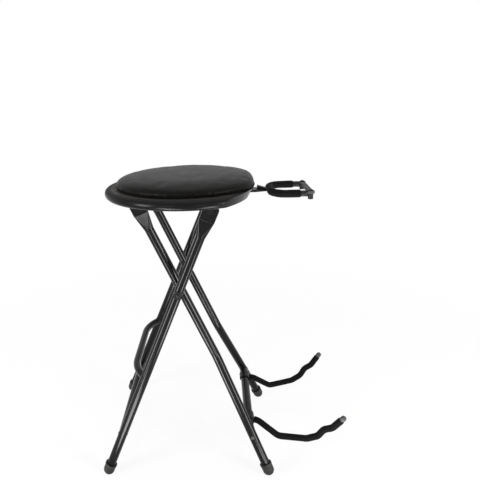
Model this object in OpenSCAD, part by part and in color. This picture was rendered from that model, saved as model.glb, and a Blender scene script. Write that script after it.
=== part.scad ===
// Folding stool with a round padded seat and a built-in cradle and neck holder.
// X runs from the footrest (front) to the cradle (back), Y from left to right, Z is up.
// Left is the -Y side. The origin lies on the floor under the middle of the outline.

/* [Leg frames] */
// Diameter of the leg tubes
tube_d = 19; // [16:0.5:22]
// Height of the two crossing rivets
pivot_h = 410; // [390:1:430]
// Lean of the rear frame from upright, in degrees
rear_lean = 24.4; // [22:0.1:27]
// Lean of the front frame from upright, in degrees
front_lean = 22.3; // [20:0.1:25]
// Half spacing of the rear legs above their bend
rear_half_w = 74; // [68:0.5:78]
// Half spacing of the rear feet
rear_foot_half_w = 136; // [120:1:138]
// Distance from the crossing down to the bend of the rear legs
rear_bend_drop = 181; // [160:1:200]
// Radius of that bend
rear_bend_r = 90; // [60:5:120]
// Half spacing of the front legs' flattened tops
front_top_half_w = 94; // [92:0.5:97]
// Half spacing of the front legs at the crossing
front_cross_half_w = 110.5; // [109:0.5:114]
// Half spacing of the front feet
front_foot_half_w = 151.5; // [150:0.5:156]
// Crossing to the seat pins, along the front legs
front_arm = 175.5; // [170:0.5:180]
// Crossing to the rest rod, along the rear legs
rear_arm = 190.5; // [186:0.5:194]
// Crossing to the rear crossbar, along the rear legs
rear_bar_drop = 344; // [334:1:350]
// Crossing to the front crossbar, along the front legs
front_bar_drop = 340.5; // [335:0.5:350]

/* [Flattened leg tops] */
// Width of a flattened top
tab_w = 31; // [28:0.5:33]
// Thickness of a flattened top
tab_t = 4; // [3:0.5:5]
// Length of a flattened top below its pin
tab_below = 20; // [16:0.5:24]
// Length of a flattened top above its pin
tab_above = 13; // [11:0.5:15]
// Length over which the round tube changes to the flat top
crimp_l = 32; // [24:1:40]
// Corner radius of a flattened top
tab_corner_r = 8; // [4:0.5:10]

/* [Feet] */
// Diameter of a rubber foot
foot_d = 24; // [22.5:0.5:27]
// Height by which a foot's rounded end is flat where it stands
foot_flat = 1; // [0.5:0.25:2]
// Height of a foot's sleeve above its rounded end
foot_sleeve_h = 15; // [12:1:24]
// Thickness of the rubber under the end of the tube
foot_sole_t = 8; // [6:0.5:10]
// Height of the lip round the top of a foot
foot_lip_h = 4; // [2:0.5:6]
// How far the lip stands out
foot_lip_t = 0.8; // [0.4:0.1:1]

/* [Crossing rivets and pins] */
// Diameter of the crossing rivets
rivet_d = 8; // [6:0.5:9]
// Diameter of a crossing rivet's dished head
rivet_head_d = 17; // [13:0.5:18]
// Thickness of that head's rim
rivet_head_t = 2.5; // [2:0.25:4]
// Diameter of the domed middle of that head
rivet_dome_d = 10; // [8:0.5:12]
// Diameter of the sleeves between the legs
spacer_d = 14; // [12:0.5:16]
// Diameter of the seat pins and of the rest rod
pin_d = 8; // [6:0.5:9]
// Diameter of the heads of those pins
pin_head_d = 13; // [11:0.5:14]
// Thickness of those heads
pin_head_t = 2; // [1.5:0.25:2.5]
// Thickness of the flush outer heads of the seat pins
pin_flush_t = 0.8; // [0.5:0.1:1.5]
// Diameter of the small rivet on the side of each rear leg
small_rivet_d = 8; // [6:0.5:10]
// Crossing to that small rivet, along the rear legs
small_rivet_drop = 361; // [358:1:370]

/* [Footrest] */
// Diameter of the footrest rod
footrest_d = 15.5; // [12:0.5:17]
// Height of the footrest
footrest_h = 229; // [215:1:245]
// How far the footrest stands out in front of the front legs
footrest_out = 27; // [20:1:36]
// Half length of its straight front
footrest_half_l = 62; // [50:1:70]
// Bend radius of its corners
footrest_bend_r = 36; // [25:1:40]

/* [Seat] */
// Radius of the seat's rounded rim
rim_r = 171; // [168:0.5:175]
// Height of the rim
rim_h = 18.5; // [17.5:0.5:20]
// Width of the rim's wall
rim_wall = 20; // [16:0.5:22]
// Width of the ledge that carries the board
rim_ledge = 8; // [5:0.5:10]
// Thickness of the seat board
board_t = 5; // [4:0.5:6]
// Height of the board's top above the seat pins
board_rise = 37; // [36:0.5:42]
// Distance from the seat pins forward to the middle of the seat
seat_forward = 49.5; // [46:0.5:54]
// Radius of the flatter back edge of the rim
back_r = 231; // [215:1:250]
// Distance from the middle of the seat to the middle of that back edge
back_reach = 139; // [136:0.5:145]
// How far that back edge leans in from its top to its foot
back_draft = 9; // [4:0.5:10]
// Half width of the gap in the rim that the neck holder slides through
back_gap_half_w = 64; // [60:1:68]
// Radius of the cushion
cushion_r = 149; // [144:1:154]
// Height of the cushion's edge
cushion_h = 22.5; // [20:0.5:30]
// Rise of the cushion's crown above its edge
cushion_crown = 2.5; // [1:0.5:5]
// Height of the cushion's shoulder
cushion_shoulder_r = 17; // [10:0.5:19]
// Width of that shoulder round the cushion
cushion_shoulder_w = 37; // [14:1:44]
// Width of that shoulder along the straight back
cushion_back_shoulder_w = 14; // [8:1:24]
// How far the cushion's side is drawn in at its foot
cushion_draw = 3; // [1:0.5:5]
// Distance from the middle of the seat to the cushion's straight back
cushion_back = 138.5; // [130:0.5:141]

/* [Seat brackets] */
// Thickness of the bracket plates
plate_t = 3; // [2.5:0.25:3.5]
// Radius of a hinge bracket round its pin
bracket_r = 12; // [10:0.5:14]
// Length of a hinge bracket under the board
bracket_l = 44; // [36:1:56]
// Width of the brackets' screwed flanges
flange_w = 18; // [14:1:22]
// Half spacing of the hooks that sit on the rest rod
hook_half_w = 60; // [50:1:62]
// Length of a hook under the board
hook_l = 40; // [34:1:50]
// Depth of a hook below the middle of the rest rod
hook_below = 9; // [6:0.5:12]
// Slope of a hook's mouth from level, in degrees
hook_slope = 59; // [55:1:63]
// Flare of the mouth to each side, in degrees
hook_flare = 8; // [4:1:12]

/* [Neck holder] */
// Width of the sliding flat bar
bar_w = 30; // [24:1:34]
// Thickness of the flat bar
bar_t = 5; // [4:0.5:6]
// Width of the flat bar where it meets the yoke
bar_tip_w = 12; // [8:1:16]
// Depth of the flat bar's middle below the top of the board
bar_drop = 15.5; // [14.5:0.5:16]
// Height of the rib on the flat bar behind the seat
bar_rib_h = 7; // [5:0.5:7.5]
// Height of that rib's end at the yoke
bar_rib_tip_h = 1.5; // [1:0.5:3]
// Distance from the middle of the seat to the yoke's cross part
yoke_reach = 170.5; // [167:0.5:176]
// Half spacing of the yoke's arms
yoke_half_w = 49; // [42:1:50]
// Length of the yoke's arms to the pegs
yoke_l = 72.5; // [66:0.5:84]
// Bend radius of the yoke
yoke_bend_r = 30; // [20:1:34]
// Diameter of the yoke's rod
yoke_rod_d = 8; // [6:0.5:9]
// Diameter of the yoke's foam sleeve
yoke_foam_d = 15.5; // [14:0.5:16.5]
// Diameter of a peg
peg_d = 10; // [8:0.5:11]
// Length of a peg below the middle of the yoke's rod
peg_below = 11; // [9:0.5:14]
// Diameter of the peg's sleeve on the end of the yoke's rod
peg_sleeve_d = 12; // [10.5:0.5:13]
// Length of that sleeve
peg_sleeve_l = 11; // [8:0.5:16]
// Diameter of the knob on top of a peg
peg_knob_d = 11; // [9:0.5:12]
// Height of that knob
peg_knob_h = 3; // [2:0.5:4]
// Diameter of the pin on top of a peg
peg_pin_d = 6; // [5:0.5:7]
// Thickness of the retaining strap
strap_t = 5; // [3:0.5:6]
// Width of the retaining strap
strap_w = 10; // [8:0.5:12]
// Diameter of the strap's round ends
strap_eye_d = 15; // [13:0.5:17]
// How far the neck holder slides in under the seat
slide_travel = 85; // [60:1:88]
// Length of the guide under the board
guide_l = 85; // [60:1:90]
// Distance from the middle of the seat back to the guide's rear end
guide_back = 59; // [50:1:60]
// Thickness of the guide's sheet
guide_t = 2; // [1.5:0.25:2]
// Diameter of the lock knob
knob_d = 20; // [16:1:22]
// Height of the lock knob
knob_h = 11; // [8:0.5:13]
// Number of grips round the lock knob
knob_grips = 6; // [5:1:8]

/* [Body cradle] */
// Half spacing of the cradle's collars
cradle_half_w = 78; // [72:1:82]
// Outer diameter of a collar
collar_d = 24.5; // [23.5:0.5:27]
// Length of a collar
collar_l = 24; // [20:1:30]
// Reach of a cradle arm behind the rear crossbar
cradle_reach = 193.5; // [180:0.5:205]
// How far each arm spreads outward, in degrees
cradle_spread = 13.6; // [8:0.1:16]
// Diameter of a cradle arm's rod
cradle_rod_d = 8; // [7:0.5:9]
// Diameter of its foam sleeve
cradle_foam_d = 14; // [12:0.5:15]
// Bend radius of the arm
cradle_bend_r = 18; // [12:1:20]
// Length of the cap on the arm's tip
tip_l = 12; // [8:0.5:16]
// Diameter of that cap
tip_d = 11.5; // [10:0.5:12]
// Angle through which an arm folds up, in degrees
cradle_swing = 100; // [80:1:104]
// Diameter of the stop pin in the collar's notch
stop_pin_d = 5; // [4:0.5:6]
// Width of the collar's notch
notch_w = 7; // [6.5:0.5:9]

/* [Clearances] */
// Gap round a pin that turns in its hole
running_fit = 0.08; // [0.04:0.01:0.1]
// Gap between pieces that are fixed together
seat_fit = 0.05; // [0.02:0.01:0.08]
// Gap between pieces that slide or turn past each other
slide_fit = 0.3; // [0.25:0.05:0.4]
// Gap between a soft piece and what it lies on
soft_fit = 0.3; // [0.2:0.05:0.4]

/* [Hidden] */
$fn = 64;

LEFT = -1;
RIGHT = 1;
// Overrun of the cutting shapes
over = 1;
// Sides of the shapes that are blended
blend_fn = 32;
// Thickness of the thin slices that are blended
slice_t = 0.5;
// How far a blended shape is drawn in where it runs into its neighbours
blend_in = 0.2;
// Length and step of the thin band that joins a bend to a straight run
band_l = 0.6;
band_step = 0.05;

tube_r = tube_d / 2;
foot_r = foot_d / 2;
collar_r = collar_d / 2;
pin_r = pin_d / 2;

// Places along the frames, measured from the crossing: up is plus
foot_z = foot_r - foot_flat;
rear_foot_at = -(pivot_h - foot_z) / cos(rear_lean);
front_foot_at = -(pivot_h - foot_z) / cos(front_lean);
rear_splay = atan((rear_foot_half_w - rear_half_w) / (-rear_foot_at - rear_bend_drop));
front_crimp_at = front_arm - tab_below - crimp_l;
front_splay = atan((front_foot_half_w - front_cross_half_w) / -front_foot_at);
front_crimp_half_w = front_cross_half_w - front_crimp_at * tan(front_splay);

// Places of the joints: X from the crossing, Z from the floor
seat_pin_x = front_arm * sin(front_lean);
seat_pin_z = pivot_h + front_arm * cos(front_lean);
rest_rod_x = -rear_arm * sin(rear_lean);
rest_rod_z = pivot_h + rear_arm * cos(rear_lean);
cradle_x = rear_bar_drop * sin(rear_lean);
cradle_z = pivot_h - rear_bar_drop * cos(rear_lean);
seat_x = seat_pin_x - seat_forward;
board_top_z = seat_pin_z + board_rise;
board_bottom_z = board_top_z - board_t;
rim_bottom_z = board_top_z - rim_h;
bar_z = board_top_z - bar_drop;
footrest_x = (footrest_h - pivot_h) * tan(front_lean);
footrest_at = (footrest_h - pivot_h) / cos(front_lean);

// The arm's side outline as shares of its reach, from the collar to the tip
cradle_path_share = [[0, 0], [0.11, -0.02], [0.33, -0.175], [0.63, -0.14], [0.74, -0.08],
                     [0.8, 0.02], [0.88, 0.057], [1, 0.225]];
cradle_plan_share = 1 / cos(cradle_spread);
cradle_path = [for (p = cradle_path_share) [p[0] * cradle_reach * cradle_plan_share, p[1] * cradle_reach]];

// The outline's ends, which put the origin in its middle
front_end = front_foot_at * sin(front_lean) - foot_r;
back_end = cradle_x + cradle_reach + tip_d / 2;
middle_x = (front_end + back_end) / 2;

steel_black = [0.09, 0.09, 0.095];
rubber_black = [0.13, 0.13, 0.13];
vinyl_black = [0.16, 0.155, 0.15];
plastic_black = [0.11, 0.11, 0.115];
wood_brown = [0.5, 0.38, 0.26];
bright_steel = [0.6, 0.6, 0.6];

// Helpers

module on_floor() {
    translate([-middle_x, 0, 0]) children();
}

// Draws on the right-hand side, or mirrored on the left-hand side
module on_side(side) {
    if (side == LEFT) mirror([0, 1, 0]) children();
    else children();
}

// Frames of reference: the crossing with Z along a frame's legs
module rear_frame() {
    on_floor() translate([0, 0, pivot_h]) rotate([0, -rear_lean, 0]) children();
}

module front_frame() {
    on_floor() translate([0, 0, pivot_h]) rotate([0, front_lean, 0]) children();
}

module seat_frame() {
    on_floor() translate([seat_x, 0, board_top_z]) children();
}

// A cylinder along Y, from y to y + l
module across(y, l, d) {
    translate([0, y, 0]) rotate([-90, 0, 0]) cylinder(h = l, d = d);
}

// A straight tube in the YZ plane between two points
module tube_yz(from, to, d) {
    rise = to - from;
    translate([0, from[0], from[1]])
        rotate([-atan2(rise[0], rise[1]), 0, 0])
            cylinder(h = norm(rise), d = d);
}

function heading(a, b) = atan2(b[1] - a[1], b[0] - a[0]);
function turn(p, i) =
    let (t = heading(p[i], p[i + 1]) - heading(p[i - 1], p[i]))
    t > 180 ? t - 360 : t < -180 ? t + 360 : t;
function trim(p, i, r) = i == 0 || i == len(p) - 1 ? 0 : r * tan(abs(turn(p, i)) / 2);
function along(a, b, l) = a + (b - a) * (l / norm(b - a));
// The path with its last point drawn back by a length
function shortened(p, l) =
    [for (i = [0 : len(p) - 1]) i < len(p) - 1 ? p[i] : along(p[i], p[i - 1], l)];

// A bent rod in the XY plane: straight runs joined by bends of radius r
module bent_rod(p, d, r) {
    for (i = [0 : len(p) - 2]) {
        a = along(p[i], p[i + 1], trim(p, i, r));
        b = along(p[i + 1], p[i], trim(p, i + 1, r));
        translate([a[0], a[1], 0])
            rotate([0, 90, heading(a, b)])
                cylinder(h = norm(b - a), d = d);
    }
    for (i = [1 : len(p) - 2]) {
        way = turn(p, i) > 0 ? 1 : -1;
        start = along(p[i], p[i - 1], trim(p, i, r));
        aim = heading(p[i - 1], p[i]) + way * 90;
        centre = start + r * [cos(aim), sin(aim)];
        translate([centre[0], centre[1], 0])
            rotate([0, 0, aim + 180 + min(turn(p, i), 0)])
                rotate_extrude(angle = abs(turn(p, i)))
                    translate([r, 0])
                        circle(d = d);
        for (neighbour = [p[i - 1], p[i + 1]]) {
            end = along(p[i], neighbour, trim(p, i, r));
            translate([end[0], end[1], 0])
                rotate([0, 90, heading(p[i], neighbour)])
                    translate([0, 0, -band_l / 2])
                        cylinder(h = band_l, d = d + 2 * band_step);
        }
    }
}

// The flattened top of a leg: the tube at from, the pin at to, both as [y, z]
module flat_top(from, to, lean_yz) {
    tab_foot = to[1] - tab_below;
    hull() {
        translate([0, from[0], from[1]])
            rotate([-lean_yz, 0, 0])
                translate([0, 0, -crimp_l / 10])
                    cylinder(h = slice_t, d = tube_d - 2 * blend_in, $fn = blend_fn);
        translate([blend_in - tab_w / 2, to[0] + blend_in - tab_t / 2, tab_foot])
            cube([tab_w - 2 * blend_in, tab_t - 2 * blend_in, slice_t]);
    }
    difference() {
        translate([0, to[0] + tab_t / 2, 0])
            rotate([90, 0, 0])
                linear_extrude(tab_t)
                    tab_outline(tab_foot, to[1] + tab_above);
        translate([0, 0, to[1]])
            across(to[0] - tab_t / 2 - over, tab_t + 2 * over, pin_d + 2 * seat_fit);
    }
}

module tab_outline(low, high) {
    translate([-tab_w / 2, low]) square([tab_w, high - low - tab_corner_r]);
    translate([-tab_w / 2 + tab_corner_r, low]) square([tab_w - 2 * tab_corner_r, high - low]);
    for (x = [-1, 1])
        translate([x * (tab_w / 2 - tab_corner_r), high - tab_corner_r])
            circle(r = tab_corner_r);
}

// A rubber foot along Z, its rounded end centred on the origin
module foot() {
    color(rubber_black)
        difference() {
            rotate([0, 0, 90]) {
                sphere(d = foot_d);
                cylinder(h = foot_sleeve_h, d = foot_d);
                translate([0, 0, foot_sleeve_h - foot_lip_h])
                    cylinder(h = foot_lip_h, d = foot_d + 2 * foot_lip_t);
            }
            translate([0, 0, foot_sole_t - foot_r])
                cylinder(h = foot_sleeve_h + foot_r, d = tube_d + 2 * seat_fit);
        }
}

// Takes off what lies below the floor
module cut_at_floor() {
    reach = pivot_h;
    difference() {
        children();
        translate([-reach, -reach, -foot_d]) cube([2 * reach, 2 * reach, foot_d]);
    }
}

// Front frame

module front_leg(side) {
    foot_end = [front_foot_half_w, front_foot_at];
    crimp_end = [front_crimp_half_w, front_crimp_at];
    tube_end = foot_end + (foot_sole_t - foot_r) * [-sin(front_splay), cos(front_splay)];
    color(steel_black)
        front_frame() on_side(side) difference() {
            union() {
                tube_yz(tube_end, crimp_end, tube_d);
                flat_top(crimp_end, [front_top_half_w, front_arm], -front_splay);
            }
            across(front_cross_half_w - tube_d, 2 * tube_d, rivet_d + 2 * seat_fit);
        }
}

module front_foot(side) {
    on_side(side) cut_at_floor() front_frame()
        translate([0, front_foot_half_w, front_foot_at])
            rotate([front_splay, 0, 0])
                foot();
}

// The front leg as a cutting shape that leaves a gap round it
module front_leg_cut(gap) {
    for (side = [LEFT, RIGHT])
        on_side(side)
            tube_yz([front_foot_half_w, front_foot_at], [front_crimp_half_w, front_crimp_at],
                    tube_d + 2 * gap);
}

module front_crossbar() {
    half_l = front_cross_half_w + front_bar_drop * tan(front_splay);
    color(steel_black)
        front_frame() difference() {
            translate([0, 0, -front_bar_drop]) across(-half_l, 2 * half_l, tube_d);
            front_leg_cut(seat_fit);
        }
}

module footrest() {
    leg_half_w = front_cross_half_w - footrest_at * tan(front_splay);
    path = [[0, -leg_half_w], [-footrest_out, -footrest_half_l - footrest_bend_r / 2],
            [-footrest_out, footrest_half_l + footrest_bend_r / 2], [0, leg_half_w]];
    color(steel_black)
        difference() {
            on_floor() translate([footrest_x, 0, footrest_h]) bent_rod(path, footrest_d, footrest_bend_r);
            front_frame() front_leg_cut(seat_fit);
        }
}

// The front tube at the crossing, as a cutting shape that leaves a gap round it
module crossing_tube(gap) {
    tube_yz([front_foot_half_w, front_foot_at], [front_crimp_half_w, front_crimp_at], tube_d + 2 * gap);
}

// Where the turning rear tube's sides pass the rivet's inner head and the spacer
rear_side_in = rear_half_w - tube_r - slide_fit;
rear_side_out = rear_half_w + tube_r + slide_fit;

// Crossing rivets: the outer head is cut to sit on the round tube, the inner one is flat
module pivot_rivet(side) {
    inner = rear_side_in - rivet_head_t;
    outer = front_cross_half_w + tube_r + rivet_head_t;
    shaft_l = outer - inner - rivet_head_t;
    color(steel_black)
        on_side(side) {
            on_floor() translate([0, 0, pivot_h]) {
                across(inner + rivet_head_t / 2, shaft_l, rivet_d);
                across(inner, rivet_head_t, rivet_dome_d + rivet_head_t);
                translate([0, outer - slice_t, 0]) rivet_dome();
            }
            difference() {
                on_floor() translate([0, 0, pivot_h])
                    across(outer - 2 * rivet_head_t, 2 * rivet_head_t, rivet_head_d);
                front_frame() crossing_tube(seat_fit);
            }
        }
}

module rivet_dome() {
    dome_rise = rivet_dome_d / 5 + slice_t;
    dome_r = (dome_rise * dome_rise + rivet_dome_d * rivet_dome_d / 4) / (2 * dome_rise);
    rotate([-90, 0, 0])
        intersection() {
            translate([0, 0, dome_rise - dome_r]) sphere(r = dome_r);
            cylinder(h = dome_rise, d = rivet_dome_d);
        }
}

module pivot_spacer(side) {
    color(steel_black)
        on_side(side) difference() {
            on_floor() translate([0, 0, pivot_h])
                across(rear_side_out, front_cross_half_w - rear_side_out, spacer_d);
            on_floor() translate([0, 0, pivot_h])
                across(0, front_cross_half_w + over, rivet_d + 2 * seat_fit);
            front_frame() crossing_tube(seat_fit);
        }
}

// The hinge bracket lies inside the flattened top
bracket_y = front_top_half_w - tab_t / 2 - slide_fit - plate_t;

module seat_pin(side) {
    inner = bracket_y - slide_fit - pin_head_t;
    outer = front_top_half_w + tab_t / 2 + seat_fit;
    color(steel_black)
        on_side(side) on_floor() translate([seat_pin_x, 0, seat_pin_z]) {
            across(inner, outer - inner, pin_d);
            across(inner, pin_head_t, pin_head_d);
            across(outer, pin_flush_t, pin_head_d);
        }
}

// Rear frame

module rear_leg(side) {
    foot_end = [rear_foot_half_w, rear_foot_at];
    bend = [rear_half_w, -rear_bend_drop];
    top = [rear_half_w, rear_arm - tab_below - crimp_l];
    tube_end = foot_end + (foot_sole_t - foot_r) * [-sin(rear_splay), cos(rear_splay)];
    color(steel_black)
        rear_frame() on_side(side) difference() {
            union() {
                // The path runs in the YZ plane
                rotate([90, 0, 90])
                    bent_rod([tube_end, bend, top], tube_d, rear_bend_r);
                flat_top(top, [rear_half_w, rear_arm], 0);
            }
            across(rear_half_w - tube_d, 2 * tube_d, rivet_d + 2 * running_fit);
        }
}

module rear_foot(side) {
    on_side(side) cut_at_floor() rear_frame()
        translate([0, rear_foot_half_w, rear_foot_at])
            rotate([rear_splay, 0, 0])
                foot();
}

function rear_leg_y(drop) = rear_half_w + (drop - rear_bend_drop) * tan(rear_splay);

module rear_crossbar() {
    half_l = rear_leg_y(rear_bar_drop);
    color(steel_black)
        rear_frame() difference() {
            translate([0, 0, -rear_bar_drop]) across(-half_l, 2 * half_l, tube_d);
            for (side = [LEFT, RIGHT])
                on_side(side)
                    tube_yz([rear_foot_half_w, rear_foot_at], [rear_half_w, -rear_bend_drop],
                            tube_d + 2 * seat_fit);
            for (side = [LEFT, RIGHT])
                on_side(side)
                    rotate([0, rear_lean, 0])
                        translate([0, notch_y(), -rear_bar_drop * cos(rear_lean)])
                            translate([cradle_x, 0, 0])
                                mirror([0, 0, 1])
                                    cylinder(h = tube_d, d = stop_pin_d + 2 * seat_fit);
        }
}

module rest_rod() {
    half_l = rear_half_w + tab_t / 2 + seat_fit;
    color(steel_black)
        rear_frame() translate([0, 0, rear_arm]) {
            across(-half_l, 2 * half_l, pin_d);
            across(half_l, pin_head_t, pin_head_d);
            across(-half_l - pin_head_t, pin_head_t, pin_head_d);
        }
}

// A small domed rivet on the outer side of each rear leg
module small_rivet(side) {
    color(bright_steel)
        rear_frame() on_side(side)
            translate([0, rear_leg_y(small_rivet_drop), -small_rivet_drop])
                rotate([rear_splay, 0, 0])
                    difference() {
                        across(0, tube_r + small_rivet_d / 5, small_rivet_d);
                        translate([0, 0, -tube_d]) cylinder(h = 2 * tube_d, d = tube_d + 2 * seat_fit);
                    }
}

// Seat

// Distance to a straight or round edge, blended so that their corner is rounded
corner_blend_share = 26;
function cushion_edge(a, inset, back_inset) =
    let (round_edge = cushion_r - inset, back_edge = cushion_back - back_inset)
    cos(a) <= 0 ? round_edge :
    pow(pow(1 / round_edge, corner_blend_share) + pow(cos(a) / back_edge, corner_blend_share),
        -1 / corner_blend_share);

module seat_cushion() {
    around = 72;
    shoulder_steps = 6;
    crown_steps = 4;
    foot_h = cushion_h - cushion_shoulder_r;
    // Each level holds its inset round the cushion, its inset at the back and its height
    side_levels = [for (i = [0 : 2]) let (inset = cushion_draw * pow(1 - i / 2, 2))
        [inset, inset, foot_h * i / 2]];
    shoulder_levels = [for (i = [1 : shoulder_steps]) let (a = 90 * i / shoulder_steps)
        [cushion_shoulder_w * (1 - cos(a)), cushion_back_shoulder_w * (1 - cos(a)),
         foot_h + cushion_shoulder_r * sin(a)]];
    crown_levels = [for (i = [1 : crown_steps]) let (s = i / (crown_steps + 1))
        [cushion_shoulder_w + (cushion_back - cushion_shoulder_w) * s,
         cushion_back_shoulder_w + (cushion_back - cushion_back_shoulder_w) * s,
         cushion_h + cushion_crown * sin(90 * s)]];
    levels = concat(side_levels, shoulder_levels, crown_levels);
    rings = [for (l = levels) for (i = [0 : around - 1])
        let (a = 360 * i / around, edge = cushion_edge(a, l[0], l[1]))
        [edge * cos(a), edge * sin(a), l[2]]];
    points = concat(rings, [[0, 0, 0], [0, 0, cushion_h + cushion_crown]]);
    foot_point = len(rings);
    top_point = foot_point + 1;
    last = (len(levels) - 1) * around;
    faces = concat(
        [for (k = [0 : len(levels) - 2]) for (i = [0 : around - 1]) let (j = (i + 1) % around)
            each [[k * around + i, (k + 1) * around + i, (k + 1) * around + j],
                  [k * around + i, (k + 1) * around + j, k * around + j]]],
        [for (i = [0 : around - 1]) [foot_point, i, (i + 1) % around]],
        [for (i = [0 : around - 1]) [top_point, last + (i + 1) % around, last + i]]);
    color(vinyl_black)
        seat_frame() translate([0, 0, soft_fit]) polyhedron(points, faces);
}

// The plan of the rim or the board, drawn in from the outer edges
module seat_plan(round_inset, back_inset) {
    intersection() {
        circle(r = rim_r - round_inset, $fn = 180);
        translate([back_reach - back_r, 0]) circle(r = back_r - back_inset, $fn = 180);
    }
}

ledge_out = rim_wall - rim_ledge;
back_ledge_out = rim_ledge;

module seat_board() {
    color(wood_brown)
        seat_frame() translate([0, 0, -board_t])
            linear_extrude(board_t)
                seat_plan(ledge_out + seat_fit, back_ledge_out + seat_fit);
}

module seat_rim() {
    nose_r = rim_h / 2;
    // The back edge's lean over the cutting overrun
    lean_over = back_draft * over / rim_h;
    color(plastic_black)
        seat_frame() difference() {
            intersection() {
                rotate_extrude($fn = 180) {
                    translate([0, -rim_h]) square([rim_r - nose_r, rim_h]);
                    translate([rim_r - nose_r, -nose_r]) circle(r = nose_r);
                }
                translate([back_reach - back_r, 0, -rim_h - over])
                    cylinder(h = rim_h + 2 * over, r1 = back_r - back_draft - lean_over,
                             r2 = back_r + lean_over, $fn = 180);
            }
            translate([0, 0, -rim_h - over])
                linear_extrude(rim_h + 2 * over)
                    seat_plan(rim_wall, rim_wall * 0.7);
            translate([0, 0, -board_t])
                linear_extrude(board_t + over)
                    seat_plan(ledge_out, back_ledge_out);
            translate([0, -back_gap_half_w, -rim_h - over])
                cube([rim_r, 2 * back_gap_half_w, rim_h - board_t + over]);
        }
}

// A hinge bracket: a plate on the pin and a flange under the board
module hinge_bracket(side) {
    drop = seat_pin_z - board_bottom_z;
    color(steel_black)
        on_side(side) on_floor() translate([seat_pin_x, bracket_y, board_bottom_z]) {
            difference() {
                translate([0, plate_t, 0])
                    rotate([90, 0, 0])
                        linear_extrude(plate_t) {
                            translate([0, drop]) circle(r = bracket_r);
                            polygon([[-bracket_r, drop], [bracket_r, drop],
                                     [bracket_l / 2, -plate_t], [bracket_l / 2, 0],
                                     [-bracket_l / 2, 0], [-bracket_l / 2, -plate_t]]);
                        }
                translate([0, 0, drop]) across(-over, plate_t + 2 * over, pin_d + 2 * running_fit);
            }
            translate([-bracket_l / 2, -flange_w, -plate_t])
                cube([bracket_l, flange_w, plate_t]);
        }
}

// A hook that sits on the rest rod, open downward and back
module rest_hook(side) {
    drop = rest_rod_z - board_bottom_z;
    mouth_l = 3 * hook_below;
    slot_r = pin_r + slide_fit;
    color(steel_black)
        on_side(side) on_floor() translate([rest_rod_x, hook_half_w - plate_t / 2, board_bottom_z]) {
            translate([0, plate_t, 0])
                rotate([90, 0, 0])
                    linear_extrude(plate_t)
                        difference() {
                            polygon([[-hook_l / 2, 0], [hook_l / 2, 0], [hook_l / 2, drop],
                                     [hook_l / 3, drop - hook_below], [-hook_l / 4, drop - hook_below],
                                     [-hook_l / 2, drop + hook_below]]);
                            translate([0, drop]) circle(r = slot_r);
                            translate([0, drop])
                                rotate(-hook_slope)
                                    polygon([[0, slot_r], [mouth_l, slot_r + mouth_l * tan(hook_flare)],
                                             [mouth_l, -slot_r - mouth_l * tan(hook_flare)], [0, -slot_r]]);
                        }
            translate([-hook_l / 2, -flange_w, -plate_t])
                cube([hook_l, flange_w, plate_t]);
        }
}

// The bar's underside and top, measured from the top of the board
bar_low = -bar_drop - bar_t / 2;
bar_high = -bar_drop + bar_t / 2;
guide_front = guide_back - guide_l;
guide_half_w = bar_w / 2 + slide_fit + guide_t;

module guide_pad() {
    color(plastic_black)
        seat_frame() translate([guide_front, -bar_w / 2, bar_high + slide_fit])
            cube([guide_l, bar_w, -board_t - bar_high - slide_fit]);
}

module neck_guide() {
    low = bar_low - slide_fit - guide_t;
    flange_out = guide_half_w + flange_w * 2 / 3;
    knob_x = guide_back - knob_d / 2;
    color(steel_black)
        seat_frame() difference() {
            translate([guide_front, 0, 0])
                rotate([90, 0, 90])
                    linear_extrude(guide_l)
                        difference() {
                            polygon([[-guide_half_w, low], [guide_half_w, low],
                                     [guide_half_w, -board_t - guide_t], [flange_out, -board_t - guide_t],
                                     [flange_out, -board_t], [-flange_out, -board_t],
                                     [-flange_out, -board_t - guide_t], [-guide_half_w, -board_t - guide_t]]);
                            translate([-guide_half_w + guide_t, low + guide_t])
                                square([2 * (guide_half_w - guide_t), -board_t - low]);
                        }
            translate([knob_x, 0, low - over])
                cylinder(h = guide_t + 2 * over, d = peg_pin_d + 2 * slide_fit);
        }
}

module lock_knob() {
    stud_top = bar_low - seat_fit;
    knob_top = bar_low - slide_fit - guide_t - slide_fit;
    knob_x = guide_back - knob_d / 2;
    grip_r = knob_d / 6;
    color(plastic_black)
        seat_frame() translate([knob_x, 0, 0]) {
            translate([0, 0, knob_top]) cylinder(h = stud_top - knob_top, d = peg_pin_d);
            difference() {
                translate([0, 0, knob_top - knob_h]) cylinder(h = knob_h, d = knob_d);
                for (i = [0 : knob_grips - 1])
                    rotate([0, 0, 360 * (i + 0.5) / knob_grips])
                        translate([knob_d / 2 + grip_r / 2, 0, knob_top - knob_h - over])
                            cylinder(h = knob_h + 2 * over, r = grip_r);
            }
        }
}

// Neck holder

stop_x = guide_front - seat_fit - peg_pin_d / 2;

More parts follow.
